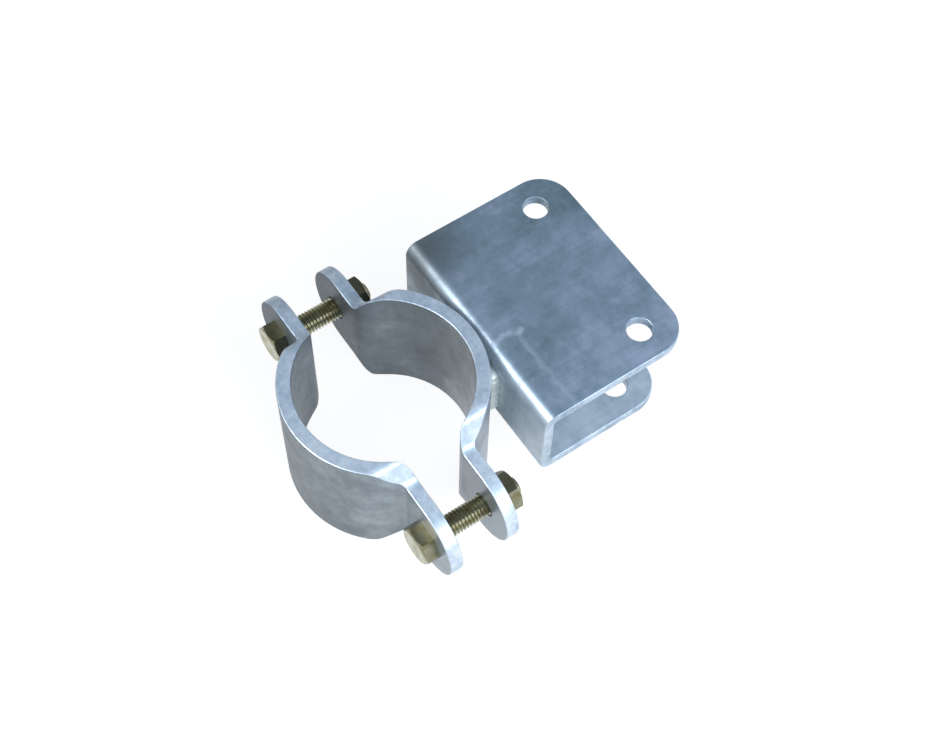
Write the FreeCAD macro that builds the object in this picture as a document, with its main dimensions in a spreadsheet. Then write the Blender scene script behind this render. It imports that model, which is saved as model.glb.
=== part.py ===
import FreeCAD, Part
import math
import os

import Sketcher

# Post mount bracket: two bent flat-bar halves close on a tube post and are drawn together by
# two bolts. A folded channel is welded to the back of the rear half, and a rail, arm or sign
# blade is bolted between its flanges.
#
# Frame: Z is the post's axis, with z = 0 at the lower edge of the bar. The bolts lie along X,
# with their heads on the front half (-X) and the channel behind the rear half (+X).

# Driving dimensions in millimetres
SIZES = {
    # Post and flat bar
    "post_diameter": 60.3,  # outside of the tube post, which the saddles fit
    "bar_height": 50.0,  # width of the flat bar, along the post
    "bar_thickness": 5.0,
    "bend_radius": 2.5,  # inside of the bend from saddle to ear
    "ear_gap": 17.0,  # open space between the facing ears
    "ear_height": 32.0,  # of the necked ear, whose end is a full round
    "ear_edge": 13.5,  # bolt axis to the tip of the ear
    "neck_start": 25.2,  # middle of the bar to where it loses its full height, along Y
    "neck_end": 35.2,  # middle of the bar to where the ear has its own height, along Y
    "neck_radius": 4.0,  # roundings at both ends of the neck's slope
    "trim_margin": 2.0,  # excess that the blank's outline trims off the bent bar
    # Bolts and nuts
    "bolt_offset": 10.85,  # back of the saddle to the bolt axis, along Y
    "bolt_diameter": 8.0,
    "bolt_projection": 1.5,  # end of the bolt beyond its nut
    "bolt_tip_chamfer": 1.0,
    "bolt_hole_clearance": 1.0,  # bolt hole over the bolt's diameter
    "hex_width": 13.0,  # across the flats of head and nut
    "hex_face_inset": 0.4,  # flats of the hexagon to the flat left on its end by the chamfer
    "hex_chamfer_angle": 30.0,
    "head_height": 5.3,
    "nut_height": 6.5,
    "nut_bore_clearance": 0.2,  # nut's bore over the bolt's diameter
    "nut_bore_chamfer": 0.5,
    # Folded channel
    "channel_width": 83.0,  # along Y
    "channel_depth": 61.0,  # web's back to the free edge of the top flange
    "lower_flange_setback": 7.0,  # free edge of the lower flange behind the top flange's
    "channel_height": 35.0,  # over the flanges
    "channel_drop": 3.5,  # top edge of the bar down to the top flange
    "plate_thickness": 4.0,
    "plate_bend_radius": 1.0,  # inside of the folds
    "flange_corner_radius": 12.0,
    "flange_hole_diameter": 9.0,
    "flange_hole_spacing": 60.0,
    "flange_hole_edge": 14.0,  # hole axis to the free edge of the flange
    # Weld
    "weld_root_gap": 0.3,  # fit-up gap between the rear saddle and the web
    "weld_radius": 4.0,  # of the bead, before it runs out on bar and web
    "weld_offset": 12.5,  # bead's axis from the middle of the web
    "weld_stop": 0.5,  # fold of the channel to the end of the bead
}

# Expressions shared by the pieces that fit one another
SADDLE_BACK = "(Sizes.post_diameter / 2 + Sizes.bar_thickness)"
BOLT_AXIS = f"({SADDLE_BACK} + Sizes.bolt_offset)"
EAR_TIP = f"({BOLT_AXIS} + Sizes.ear_edge)"
EAR_OUTSIDE = "(Sizes.ear_gap / 2 + Sizes.bar_thickness)"
BOLT_HOLE = "(Sizes.bolt_diameter + Sizes.bolt_hole_clearance)"
BOLT_LENGTH = f"(2 * {EAR_OUTSIDE} + Sizes.nut_height + Sizes.bolt_projection)"
NUT_BORE = "(Sizes.bolt_diameter + Sizes.nut_bore_clearance)"
HEX_CORNER = "(Sizes.hex_width / sqrt(3))"
HEX_FACE = "(Sizes.hex_width / 2 - Sizes.hex_face_inset)"
MID_HEIGHT = "(Sizes.bar_height / 2)"
WEB_BACK = f"({SADDLE_BACK} + Sizes.weld_root_gap)"
CHANNEL_MOUTH = f"({WEB_BACK} + Sizes.channel_depth)"
LOWER_MOUTH = f"({CHANNEL_MOUTH} - Sizes.lower_flange_setback)"
CHANNEL_TOP = "(Sizes.bar_height - Sizes.channel_drop)"
SLOT_FLOOR = f"({CHANNEL_TOP} - Sizes.channel_height + Sizes.plate_thickness)"
FOLD_OUTSIDE = "(Sizes.plate_bend_radius + Sizes.plate_thickness)"
WELD_RUN = f"(Sizes.channel_height - 2 * ({FOLD_OUTSIDE} + Sizes.weld_stop + Sizes.weld_radius))"

SKETCH_ORIGIN = (-1, 1)  # geometry and vertex numbers of a sketch's origin
ARC_CENTRE = 3  # vertex number of an arc's or circle's centre
HEX_TURNS = range(30, 390, 60)  # corners of a hexagon with two flats along Y, in degrees
FULL_TURN = 360
SAME_SIZE = 1e-4  # lengths closer than this, in millimetres, count as equal

doc = FreeCAD.newDocument("post_mount_bracket")
sheet = doc.addObject("Spreadsheet::Sheet", "Sizes")
for row, (alias, value) in enumerate(SIZES.items(), start=1):
    sheet.set(f"A{row}", alias.replace("_", " "))
    sheet.set(f"B{row}", str(value))
    sheet.setAlias(f"B{row}", alias)
doc.recompute()


def mm(alias):
    """One driving dimension, read from the sheet."""
    return float(sheet.get(alias))


def worked_out(expression):
    """Value of an expression of the sheet's dimensions."""
    return float(sheet.evalExpression(expression))


def new_body(label):
    """Empty body whose label names the piece."""
    body = doc.addObject("PartDesign::Body", label)
    body.Label = label
    return body


def origin_feature(body, role):
    """One of the body's own origin planes or axes."""
    return next(item for item in body.Origin.OriginFeatures if item.Role == role)


def sketch_on(body, name, role):
    """Empty sketch on one of the body's origin planes."""
    sketch = body.newObject("Sketcher::SketchObject", f"{body.Name}_{name}")
    sketch.AttachmentSupport = [(origin_feature(body, role), "")]
    sketch.MapMode = "FlatFace"
    return sketch


def line(start, end):
    """Straight segment, with the vertex numbers of its two ends."""
    return Part.LineSegment(FreeCAD.Vector(*start, 0), FreeCAD.Vector(*end, 0)), 1, 2


def arc(centre, radius, start, end):
    """Arc from one angle to another in degrees, either way round, with its end vertices."""
    circle = Part.Circle(FreeCAD.Vector(*centre, 0), FreeCAD.Vector(0, 0, 1), radius)
    low, high = sorted((math.radians(start), math.radians(end)))
    ends = (1, 2) if end > start else (2, 1)
    return Part.ArcOfCircle(circle, low, high), *ends


def add_loop(sketch, segments, corners=()):
    """Closed chain of named segments, tangent at every joint but those that follow the listed ones.

    Gives each segment's number in the sketch, by its name.
    """
    numbers = {name: sketch.addGeometry(geometry) for name, (geometry, _, _) in segments.items()}
    names = list(segments)
    for name, follower in zip(names, names[1:] + names[:1]):
        kind = "Coincident" if name in corners else "Tangent"
        last_vertex = segments[name][2]
        first_vertex = segments[follower][1]
        constrain(sketch, kind, numbers[name], last_vertex, numbers[follower], first_vertex)
    return numbers


def constrain(sketch, kind, *elements):
    """Geometric constraint without a value."""
    sketch.addConstraint(Sketcher.Constraint(kind, *elements))


def drive(sketch, expression, kind, *elements):
    """Constraint whose value is bound to the sheet."""
    index = sketch.addConstraint(Sketcher.Constraint(kind, *elements, worked_out(expression)))
    sketch.setExpression(f"Constraints[{index}]", expression)


def add_polygon(sketch, points):
    """Closed chain of straight segments through the points. Gives their numbers in the sketch."""
    sides = dict(enumerate(line(start, end) for start, end in zip(points, points[1:] + points[:1])))
    return list(add_loop(sketch, sides, corners=sides).values())


def add_rectangle(sketch, left, bottom, right, top):
    """Rectangle whose four sides are placed by expressions."""
    x0, y0, x1, y1 = (worked_out(side) for side in (left, bottom, right, top))
    points = [(x0, y0), (x1, y0), (x1, y1), (x0, y1)]
    lower_side, right_side, upper_side, left_side = add_polygon(sketch, points)
    for side in (lower_side, upper_side):
        constrain(sketch, "Horizontal", side)
    for side in (left_side, right_side):
        constrain(sketch, "Vertical", side)
    drive(sketch, left, "DistanceX", *SKETCH_ORIGIN, lower_side, 1)
    drive(sketch, bottom, "DistanceY", *SKETCH_ORIGIN, lower_side, 1)
    drive(sketch, right, "DistanceX", *SKETCH_ORIGIN, upper_side, 1)
    drive(sketch, top, "DistanceY", *SKETCH_ORIGIN, upper_side, 1)


def add_circle(sketch, x, y, diameter):
    """Circle whose centre and diameter are expressions."""
    centre = FreeCAD.Vector(worked_out(x), worked_out(y), 0)
    radius = worked_out(diameter) / 2
    index = sketch.addGeometry(Part.Circle(centre, FreeCAD.Vector(0, 0, 1), radius))
    drive(sketch, diameter, "Diameter", index)
    drive(sketch, x, "DistanceX", *SKETCH_ORIGIN, index, ARC_CENTRE)
    drive(sketch, y, "DistanceY", *SKETCH_ORIGIN, index, ARC_CENTRE)


def pad(body, name, sketch, length, symmetric=False, reversed_way=False):
    """Pad of a sketch to a length given by an expression."""
    feature = body.newObject("PartDesign::Pad", f"{body.Name}_{name}")
    feature.Profile = sketch
    feature.SideType = "Symmetric" if symmetric else "One side"
    feature.Reversed = reversed_way
    feature.setExpression("Length", length)
    doc.recompute()
    return feature


def must_cut(feature, before):
    """Stop if a cutting feature took nothing off the body."""
    if feature.Shape.Volume >= before:
        raise RuntimeError(f"{feature.Label} cuts nothing")


def pocket(body, name, sketch, depth=None):
    """Pocket of a sketch down to a depth given by an expression, or right through both ways."""
    before = body.Shape.Volume
    feature = body.newObject("PartDesign::Pocket", f"{body.Name}_{name}")
    feature.Profile = sketch
    if depth is None:
        feature.Type = "ThroughAll"
        feature.SideType = "Symmetric"
    else:
        feature.setExpression("Length", depth)
    doc.recompute()
    must_cut(feature, before)
    return feature


def round_edges(body, name, base, edges, radius):
    """Fillet of the chosen edges of a feature."""
    feature = body.newObject("PartDesign::Fillet", f"{body.Name}_{name}")
    feature.Base = (base, [f"Edge{index}" for index in edges])
    feature.setExpression("Radius", radius)
    doc.recompute()
    return feature


def clamp_half(label, turn):
    """One half of the clamp: a saddle of bent flat bar with an ear at each end.

    Both halves are the same piece, the front one turned round the post.
    """
    body = new_body(label)
    saddle = mm("post_diameter") / 2
    wall = mm("bar_thickness")
    bend = mm("bend_radius")
    ear = mm("ear_gap") / 2
    end = worked_out(EAR_TIP) + mm("trim_margin")
    bend_x = ear + wall + bend
    post_to_bend = saddle + wall + bend
    bend_y = math.sqrt(post_to_bend**2 - bend_x**2)
    turned = math.degrees(math.acos(bend_x / post_to_bend))

    # Section of the bent bar: saddle, reverse bends and straight ears, seen along the post
    section = sketch_on(body, "section", "XY_Plane")
    section.setExpression("AttachmentOffset.Base.z", "-Sizes.trim_margin")
    at = add_loop(
        section,
        {
            "inner_saddle": arc((0, 0), saddle, -turned, turned),
            "far_outer_bend": arc((bend_x, bend_y), bend + wall, 180 + turned, 180),
            "far_inside": line((ear, bend_y), (ear, end)),
            "far_tip": line((ear, end), (ear + wall, end)),
            "far_outside": line((ear + wall, end), (ear + wall, bend_y)),
            "far_inner_bend": arc((bend_x, bend_y), bend, 180, 180 + turned),
            "outer_saddle": arc((0, 0), saddle + wall, turned, -turned),
            "near_inner_bend": arc((bend_x, -bend_y), bend, 180 - turned, 180),
            "near_outside": line((ear + wall, -bend_y), (ear + wall, -end)),
            "near_tip": line((ear + wall, -end), (ear, -end)),
            "near_inside": line((ear, -end), (ear, -bend_y)),
            "near_outer_bend": arc((bend_x, -bend_y), bend + wall, 180, 180 - turned),
        },
        corners=("far_inside", "far_tip", "near_outside", "near_tip"),
    )
    for name in ("inner_saddle", "outer_saddle"):
        constrain(section, "Coincident", at[name], ARC_CENTRE, *SKETCH_ORIGIN)
    drive(section, "Sizes.post_diameter / 2", "Radius", at["inner_saddle"])
    drive(section, SADDLE_BACK, "Radius", at["outer_saddle"])
    for ear_name in ("near", "far"):
        inner_bend = at[f"{ear_name}_inner_bend"]
        outer_bend = at[f"{ear_name}_outer_bend"]
        inside = at[f"{ear_name}_inside"]
        constrain(section, "Coincident", inner_bend, ARC_CENTRE, outer_bend, ARC_CENTRE)
        constrain(section, "Vertical", inside)
        constrain(section, "Vertical", at[f"{ear_name}_outside"])
        constrain(section, "Horizontal", at[f"{ear_name}_tip"])
        drive(section, "Sizes.bend_radius", "Radius", inner_bend)
        drive(section, "Sizes.ear_gap / 2", "DistanceX", *SKETCH_ORIGIN, inside, 1)
    excess_tip = f"{EAR_TIP} + Sizes.trim_margin"
    drive(section, excess_tip, "DistanceY", *SKETCH_ORIGIN, at["far_tip"], 1)
    drive(section, excess_tip, "DistanceY", at["near_tip"], 1, *SKETCH_ORIGIN)
    pad(body, "bent_bar", section, "Sizes.bar_height + 2 * Sizes.trim_margin")

    # Outline of the blank seen along the bolts: full height behind the saddle, necked round ears
    outline = sketch_on(body, "outline", "YZ_Plane")
    add_rectangle(
        outline,
        f"-{EAR_TIP} - 2 * Sizes.trim_margin",
        "-2 * Sizes.trim_margin",
        f"{EAR_TIP} + 2 * Sizes.trim_margin",
        "Sizes.bar_height + 2 * Sizes.trim_margin",
    )
    add_blank_outline(outline)
    pocket(body, "blank", outline)

    holes = sketch_on(body, "holes", "YZ_Plane")
    for side in ("-", ""):
        add_circle(holes, f"{side}{BOLT_AXIS}", MID_HEIGHT, BOLT_HOLE)
    pocket(body, "bolt_holes", holes)
    body.Placement = FreeCAD.Placement(
        FreeCAD.Vector(0, 0, 0), FreeCAD.Rotation(FreeCAD.Vector(0, 0, 1), turn)
    )
    return body


def add_blank_outline(sketch):
    """Outline of the bar's blank: straight edges that neck down to round-ended ears."""
    top = mm("bar_height")
    middle = top / 2
    half_ear = mm("ear_height") / 2
    neck = mm("neck_radius")
    start_y = mm("neck_start")
    neck_y = mm("neck_end")
    end_y = worked_out(EAR_TIP) - half_ear
    # Direction of the slope's normal, from the tangent that crosses between its two roundings
    across = neck_y - start_y
    down = top - middle - half_ear - 2 * neck
    slope = math.atan2(down, across) + math.asin(2 * neck / math.hypot(across, down))
    lean = 90 - math.degrees(slope)
    out_y, out_z = neck * math.sin(slope), neck * math.cos(slope)
    slope_top = (start_y + out_y, top - neck + out_z)
    slope_foot = (neck_y - out_y, middle + half_ear + neck - out_z)

    def at_corner(y, z, y_sign, z_sign):
        return (y_sign * y, middle + z_sign * (z - middle))

    shoulder_z = top - neck
    neck_z = middle + half_ear + neck
    ear_z = middle + half_ear
    at = add_loop(
        sketch,
        {
            "top_edge": line((-start_y, top), (start_y, top)),
            "far_top_shoulder": arc((start_y, shoulder_z), neck, 90, lean),
            "far_top_slope": line(slope_top, slope_foot),
            "far_top_neck": arc((neck_y, neck_z), neck, 180 + lean, 270),
            "far_top_edge": line((neck_y, ear_z), (end_y, ear_z)),
            "far_end": arc((end_y, middle), half_ear, 90, -90),
            "far_bottom_edge": line(at_corner(end_y, ear_z, 1, -1), at_corner(neck_y, ear_z, 1, -1)),
            "far_bottom_neck": arc(at_corner(neck_y, neck_z, 1, -1), neck, 90, 180 - lean),
            "far_bottom_slope": line(at_corner(*slope_foot, 1, -1), at_corner(*slope_top, 1, -1)),
            "far_bottom_shoulder": arc(at_corner(start_y, shoulder_z, 1, -1), neck, -lean, -90),
            "bottom_edge": line((start_y, 0), (-start_y, 0)),
            "near_bottom_shoulder": arc(at_corner(start_y, shoulder_z, -1, -1), neck, -90, lean - 180),
            "near_bottom_slope": line(at_corner(*slope_top, -1, -1), at_corner(*slope_foot, -1, -1)),
            "near_bottom_neck": arc(at_corner(neck_y, neck_z, -1, -1), neck, lean, 90),
            "near_bottom_edge": line(at_corner(neck_y, ear_z, -1, -1), at_corner(end_y, ear_z, -1, -1)),
            "near_end": arc((-end_y, middle), half_ear, -90, -270),
            "near_top_edge": line((-end_y, ear_z), (-neck_y, ear_z)),
            "near_top_neck": arc((-neck_y, neck_z), neck, -90, -lean),
            "near_top_slope": line(at_corner(*slope_foot, -1, 1), at_corner(*slope_top, -1, 1)),
            "near_top_shoulder": arc((-start_y, shoulder_z), neck, 180 - lean, 90),
        },
    )
    for name in ("top_edge", "bottom_edge"):
        constrain(sketch, "Horizontal", at[name])
    drive(sketch, "Sizes.bar_height", "DistanceY", *SKETCH_ORIGIN, at["top_edge"], 1)
    constrain(sketch, "PointOnObject", at["bottom_edge"], 1, SKETCH_ORIGIN[0])
    for ear_name, sign in (("near", "-"), ("far", "")):
        round_end = at[f"{ear_name}_end"]
        end_centre = f"{sign}({EAR_TIP} - Sizes.ear_height / 2)"
        drive(sketch, "Sizes.ear_height / 2", "Radius", round_end)
        drive(sketch, end_centre, "DistanceX", *SKETCH_ORIGIN, round_end, ARC_CENTRE)
        drive(sketch, MID_HEIGHT, "DistanceY", *SKETCH_ORIGIN, round_end, ARC_CENTRE)
        for level in ("top", "bottom"):
            constrain(sketch, "Horizontal", at[f"{ear_name}_{level}_edge"])
            for rounding, centre in (("shoulder", "neck_start"), ("neck", "neck_end")):
                number = at[f"{ear_name}_{level}_{rounding}"]
                drive(sketch, "Sizes.neck_radius", "Radius", number)
                drive(sketch, f"{sign}Sizes.{centre}", "DistanceX", *SKETCH_ORIGIN, number, ARC_CENTRE)


def is_circle(edge, radius):
    """Whether an edge is a circle of this radius."""
    return isinstance(edge.Curve, Part.Circle) and abs(edge.Curve.Radius - radius) < SAME_SIZE


def channel_bracket(label):
    """Channel folded from one plate: a web and two flanges, the lower one shorter."""
    body = new_body(label)
    plate = mm("plate_thickness")
    inner = mm("plate_bend_radius")
    outer = worked_out(FOLD_OUTSIDE)
    back = worked_out(WEB_BACK)
    mouth = worked_out(CHANNEL_MOUTH)
    lower_mouth = worked_out(LOWER_MOUTH)
    top = worked_out(CHANNEL_TOP)
    bottom = top - mm("channel_height")
    fold_x = back + outer
    upper_fold = (fold_x, top - outer)
    lower_fold = (fold_x, bottom + outer)

    # Folded section, seen along Y
    section = sketch_on(body, "section", "XZ_Plane")
    at = add_loop(
        section,
        {
            "top_outside": line((fold_x, top), (mouth, top)),
            "top_free_edge": line((mouth, top), (mouth, top - plate)),
            "top_inside": line((mouth, top - plate), (fold_x, top - plate)),
            "top_inner_fold": arc(upper_fold, inner, 90, 180),
            "web_inside": line((back + plate, top - outer), (back + plate, bottom + outer)),
            "bottom_inner_fold": arc(lower_fold, inner, 180, 270),
            "bottom_inside": line((fold_x, bottom + plate), (lower_mouth, bottom + plate)),
            "bottom_free_edge": line((lower_mouth, bottom + plate), (lower_mouth, bottom)),
            "bottom_outside": line((lower_mouth, bottom), (fold_x, bottom)),
            "bottom_outer_fold": arc(lower_fold, outer, 270, 180),
            "web_outside": line((back, bottom + outer), (back, top - outer)),
            "top_outer_fold": arc(upper_fold, outer, 180, 90),
        },
        corners=("top_outside", "top_free_edge", "bottom_inside", "bottom_free_edge"),
    )
    for name in ("web_inside", "web_outside"):
        constrain(section, "Vertical", at[name])
    for flange, free_x in (("top", CHANNEL_MOUTH), ("bottom", LOWER_MOUTH)):
        inner_fold = at[f"{flange}_inner_fold"]
        outer_fold = at[f"{flange}_outer_fold"]
        free_edge = at[f"{flange}_free_edge"]
        constrain(section, "Horizontal", at[f"{flange}_inside"])
        constrain(section, "Horizontal", at[f"{flange}_outside"])
        constrain(section, "Vertical", free_edge)
        constrain(section, "Coincident", inner_fold, ARC_CENTRE, outer_fold, ARC_CENTRE)
        drive(section, "Sizes.plate_bend_radius", "Radius", inner_fold)
        drive(section, free_x, "DistanceX", *SKETCH_ORIGIN, free_edge, 1)
    drive(section, FOLD_OUTSIDE, "Radius", at["top_outer_fold"])
    drive(section, WEB_BACK, "DistanceX", *SKETCH_ORIGIN, at["web_outside"], 1)
    drive(section, CHANNEL_TOP, "DistanceY", *SKETCH_ORIGIN, at["top_outside"], 1)
    drive(section, "Sizes.channel_height", "DistanceY", at["bottom_outside"], 1, at["top_outside"], 2)
    folded = pad(body, "folded_plate", section, "Sizes.channel_width", symmetric=True)

    corners = [
        number
        for number, edge in enumerate(folded.Shape.Edges, start=1)
        if any(is_corner(edge, x, mm("channel_width") / 2) for x in (mouth, lower_mouth))
    ]
    round_edges(body, "flange_corners", folded, corners, "Sizes.flange_corner_radius")

    for flange, level, free_x in (("top", CHANNEL_TOP, CHANNEL_MOUTH), ("lower", SLOT_FLOOR, LOWER_MOUTH)):
        holes = sketch_on(body, f"{flange}_holes", "XY_Plane")
        holes.setExpression("AttachmentOffset.Base.z", level)
        for side in ("-", ""):
            add_circle(
                holes,
                f"{free_x} - Sizes.flange_hole_edge",
                f"{side}Sizes.flange_hole_spacing / 2",
                "Sizes.flange_hole_diameter",
            )
        pocket(body, f"{flange}_flange_holes", holes, "Sizes.plate_thickness")
    return body


def is_corner(edge, x, y):
    """Whether an edge runs through the plate at the flange corner (x, +y) or (x, -y)."""
    ends = [vertex.Point for vertex in edge.Vertexes]
    at_corner = all(abs(end.x - x) < SAME_SIZE and abs(abs(end.y) - y) < SAME_SIZE for end in ends)
    return at_corner and abs(ends[0].y - ends[-1].y) < SAME_SIZE


def weld_bead(label, sign, bar, channel):
    """Flare weld along one side of the saddle, run out flush on the bar and on the web."""
    middle = f"{CHANNEL_TOP} - Sizes.channel_height / 2"
    saddle_x = f"sqrt({SADDLE_BACK} ^ 2 - Sizes.weld_offset ^ 2)"
    bead_x = f"({saddle_x} + {WEB_BACK}) / 2"
    bead_y = f"{sign}Sizes.weld_offset"
    rod = doc.addObject("Part::Cylinder", f"{label}_rod")
    rod.setExpression("Height", WELD_RUN)
    lower = doc.addObject("Part::Sphere", f"{label}_lower_end")
    upper = doc.addObject("Part::Sphere", f"{label}_upper_end")
    lower_z = f"{middle} - {WELD_RUN} / 2"
    upper_z = f"{middle} + {WELD_RUN} / 2"
    for shape, height in ((rod, lower_z), (lower, lower_z), (upper, upper_z)):
        shape.setExpression("Radius", "Sizes.weld_radius")
        shape.setExpression("Placement.Base.x", bead_x)
        shape.setExpression("Placement.Base.y", bead_y)
        shape.setExpression("Placement.Base.z", height)
    run = doc.addObject("Part::MultiFuse", f"{label}_run")
    run.Shapes = [rod, lower, upper]
    off_bar = doc.addObject("Part::Cut", f"{label}_off_bar")
    off_bar.Base = run
    off_bar.Tool = bar
    bead = doc.addObject("Part::Cut", label)
    bead.Label = label
    bead.Base = off_bar
    bead.Tool = channel
    doc.recompute()
    return bead


def hexagon(body, name):
    """Sketch of a regular hexagon on the body's XY plane, with two flats along Y."""
    sketch = sketch_on(body, name, "XY_Plane")
    radius = worked_out(HEX_CORNER)
    turns = [math.radians(angle) for angle in HEX_TURNS]
    points = [(radius * math.cos(turn), radius * math.sin(turn)) for turn in turns]
    sides = add_polygon(sketch, points)
    guide = Part.Circle(FreeCAD.Vector(0, 0, 0), FreeCAD.Vector(0, 0, 1), radius)
    circle = sketch.addGeometry(guide, True)
    constrain(sketch, "Coincident", circle, ARC_CENTRE, *SKETCH_ORIGIN)
    for side in sides:
        constrain(sketch, "PointOnObject", side, 1, circle)
    for side in sides[1:]:
        constrain(sketch, "Equal", sides[0], side)
    constrain(sketch, "Vertical", sides[-1])
    drive(sketch, HEX_CORNER, "Radius", circle)
    return sketch


def chamfer_hexagon(body, name, face, into):
    """Turn the corners off one end of a hexagon; into is the sign of Z towards its middle."""
    reach = f"({HEX_CORNER} + Sizes.trim_margin)"
    drop = f"(({reach} - {HEX_FACE}) * tan(Sizes.hex_chamfer_angle * 1deg))"
    height = worked_out(face)
    start = worked_out(HEX_FACE)
    outside = worked_out(reach)
    fall = into * worked_out(drop)
    sketch = sketch_on(body, name, "XZ_Plane")
    across, down, _ = add_polygon(
        sketch, [(start, height), (outside, height), (outside, height + fall)]
    )
    constrain(sketch, "Horizontal", across)
    constrain(sketch, "Vertical", down)
    drive(sketch, HEX_FACE, "DistanceX", *SKETCH_ORIGIN, across, 1)
    drive(sketch, face, "DistanceY", *SKETCH_ORIGIN, across, 1)
    drive(sketch, reach, "DistanceX", *SKETCH_ORIGIN, across, 2)
    ends = (down, 1, down, 2) if into > 0 else (down, 2, down, 1)
    drive(sketch, drop, "DistanceY", *ends)
    before = body.Shape.Volume
    groove = body.newObject("PartDesign::Groove", f"{body.Name}_{name}_turned")
    groove.Profile = sketch
    groove.ReferenceAxis = (origin_feature(body, "Z_Axis"), [""])
    groove.Angle = FULL_TURN
    doc.recompute()
    must_cut(groove, before)
    return groove


def circle_edges(shape, radius, height):
    """Numbers of the circular edges of this radius at this height."""
    return [
        number
        for number, edge in enumerate(shape.Edges, start=1)
        if is_circle(edge, radius) and abs(edge.Curve.Center.z - height) < SAME_SIZE
    ]


def chamfer(body, name, base, edges, size):
    """Chamfer of the chosen edges of a feature."""
    feature = body.newObject("PartDesign::Chamfer", f"{body.Name}_{name}")
    feature.Base = (base, [f"Edge{number}" for number in edges])
    feature.setExpression("Size", size)
    doc.recompute()
    return feature


def lay_along_bolt(body, x, side):
    """Turn a fastener's own Z axis along +X and set it on one of the bolt axes."""
    body.Placement = FreeCAD.Placement(
        FreeCAD.Vector(0, 0, 0), FreeCAD.Rotation(FreeCAD.Vector(0, 1, 0), 90)
    )
    body.setExpression("Placement.Base.x", x)
    body.setExpression("Placement.Base.y", f"{side}{BOLT_AXIS}")
    body.setExpression("Placement.Base.z", MID_HEIGHT)
    doc.recompute()


def hex_bolt(label, side):
    """Hexagon bolt with its head seated on the front half's ear; z = 0 is under the head."""
    body = new_body(label)
    pad(body, "head", hexagon(body, "hexagon"), "Sizes.head_height", reversed_way=True)
    chamfer_hexagon(body, "head_end", "-Sizes.head_height", 1)
    shank = sketch_on(body, "shank_circle", "XY_Plane")
    add_circle(shank, "0", "0", "Sizes.bolt_diameter")
    shaft = pad(body, "shank", shank, BOLT_LENGTH)
    tip = circle_edges(shaft.Shape, mm("bolt_diameter") / 2, worked_out(BOLT_LENGTH))
    chamfer(body, "tip", shaft, tip, "Sizes.bolt_tip_chamfer")
    lay_along_bolt(body, f"-{EAR_OUTSIDE}", side)
    return body


def hex_nut(label, side):
    """Hexagon nut seated on the rear half's ear; z = 0 is its seat."""
    body = new_body(label)
    pad(body, "blank", hexagon(body, "hexagon"), "Sizes.nut_height")
    chamfer_hexagon(body, "seat_end", "0", 1)
    chamfer_hexagon(body, "free_end", "Sizes.nut_height", -1)
    bore = sketch_on(body, "bore_circle", "XY_Plane")
    add_circle(bore, "0", "0", NUT_BORE)
    drilled = pocket(body, "bore", bore)
    radius = worked_out(NUT_BORE) / 2
    rims = [
        number
        for height in (0, mm("nut_height"))
        for number in circle_edges(drilled.Shape, radius, height)
    ]
    chamfer(body, "rims", drilled, rims, "Sizes.nut_bore_chamfer")
    lay_along_bolt(body, EAR_OUTSIDE, side)
    return body


rear_half = clamp_half("rear_clamp_half", 0)
front_half = clamp_half("front_clamp_half", 180)
channel = channel_bracket("channel_bracket")
pieces = [
    rear_half,
    front_half,
    channel,
    weld_bead("near_weld_bead", "-", rear_half, channel),
    weld_bead("far_weld_bead", "", rear_half, channel),
    hex_bolt("near_bolt", "-"),
    hex_bolt("far_bolt", ""),
    hex_nut("near_nut", "-"),
    hex_nut("far_nut", ""),
]
doc.recompute()

for item in doc.Objects:
    if "Invalid" in item.State or "Error" in item.State:
        raise RuntimeError(f"{item.Label} failed to build: {item.State}")
for piece in pieces:
    if piece.Shape.isNull() or not piece.Shape.isValid() or len(piece.Shape.Solids) != 1:
        raise RuntimeError(f"{piece.Label} is not one sound solid")

os.makedirs("parts", exist_ok=True)
for piece in pieces:
    piece.Shape.exportStep(f"parts/{piece.Label}.step")
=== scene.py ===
"""Looks of a post mount bracket: two galvanised clamp halves, a welded channel, bolts and nuts.

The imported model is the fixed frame. The bent bar, the folded plate, the weld beads, the bolts and
the nuts are dressed around it, in metres and in its own axes: Z along the post, X along the bolts.
"""

import logging
import math
from collections.abc import Iterable, Mapping, Sequence
from dataclasses import dataclass
from enum import Enum
from typing import Any

import bmesh
import bpy
from mathutils import Matrix, Vector


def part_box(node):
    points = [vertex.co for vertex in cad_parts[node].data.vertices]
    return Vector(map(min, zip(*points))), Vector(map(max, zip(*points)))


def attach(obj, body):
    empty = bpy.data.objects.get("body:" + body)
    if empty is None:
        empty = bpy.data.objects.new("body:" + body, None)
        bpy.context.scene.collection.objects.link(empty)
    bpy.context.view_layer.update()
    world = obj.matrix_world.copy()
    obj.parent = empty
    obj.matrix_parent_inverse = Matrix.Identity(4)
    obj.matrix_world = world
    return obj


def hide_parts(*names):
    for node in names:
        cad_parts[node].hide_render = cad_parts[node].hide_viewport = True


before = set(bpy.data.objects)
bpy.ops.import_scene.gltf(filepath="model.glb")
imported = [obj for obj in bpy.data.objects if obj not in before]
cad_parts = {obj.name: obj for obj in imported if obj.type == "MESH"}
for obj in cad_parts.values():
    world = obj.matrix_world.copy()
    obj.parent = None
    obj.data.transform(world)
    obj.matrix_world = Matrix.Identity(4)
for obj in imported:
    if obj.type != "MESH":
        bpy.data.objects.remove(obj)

MM = 0.001
BODY = "root"
UPWARD = "upward"  # face attribute: how far a face looks up, from minus one to one; it sets the painted shade of the bolts and nuts
PHOTO_WIDTH = 938  # pixels of the image that the camera frames
WELD_GAP = 0.001 * MM  # corners of the loose triangles closer than this are one corner
FLAT_TURN = math.radians(0.2)  # facets that turn by less than this are one flat face
SHARP_TURN = math.radians(28)  # edges that turn by more than this are edges of the steel
HALF_ROUND = 0.5  # bevel profile of a circular rounding
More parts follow.
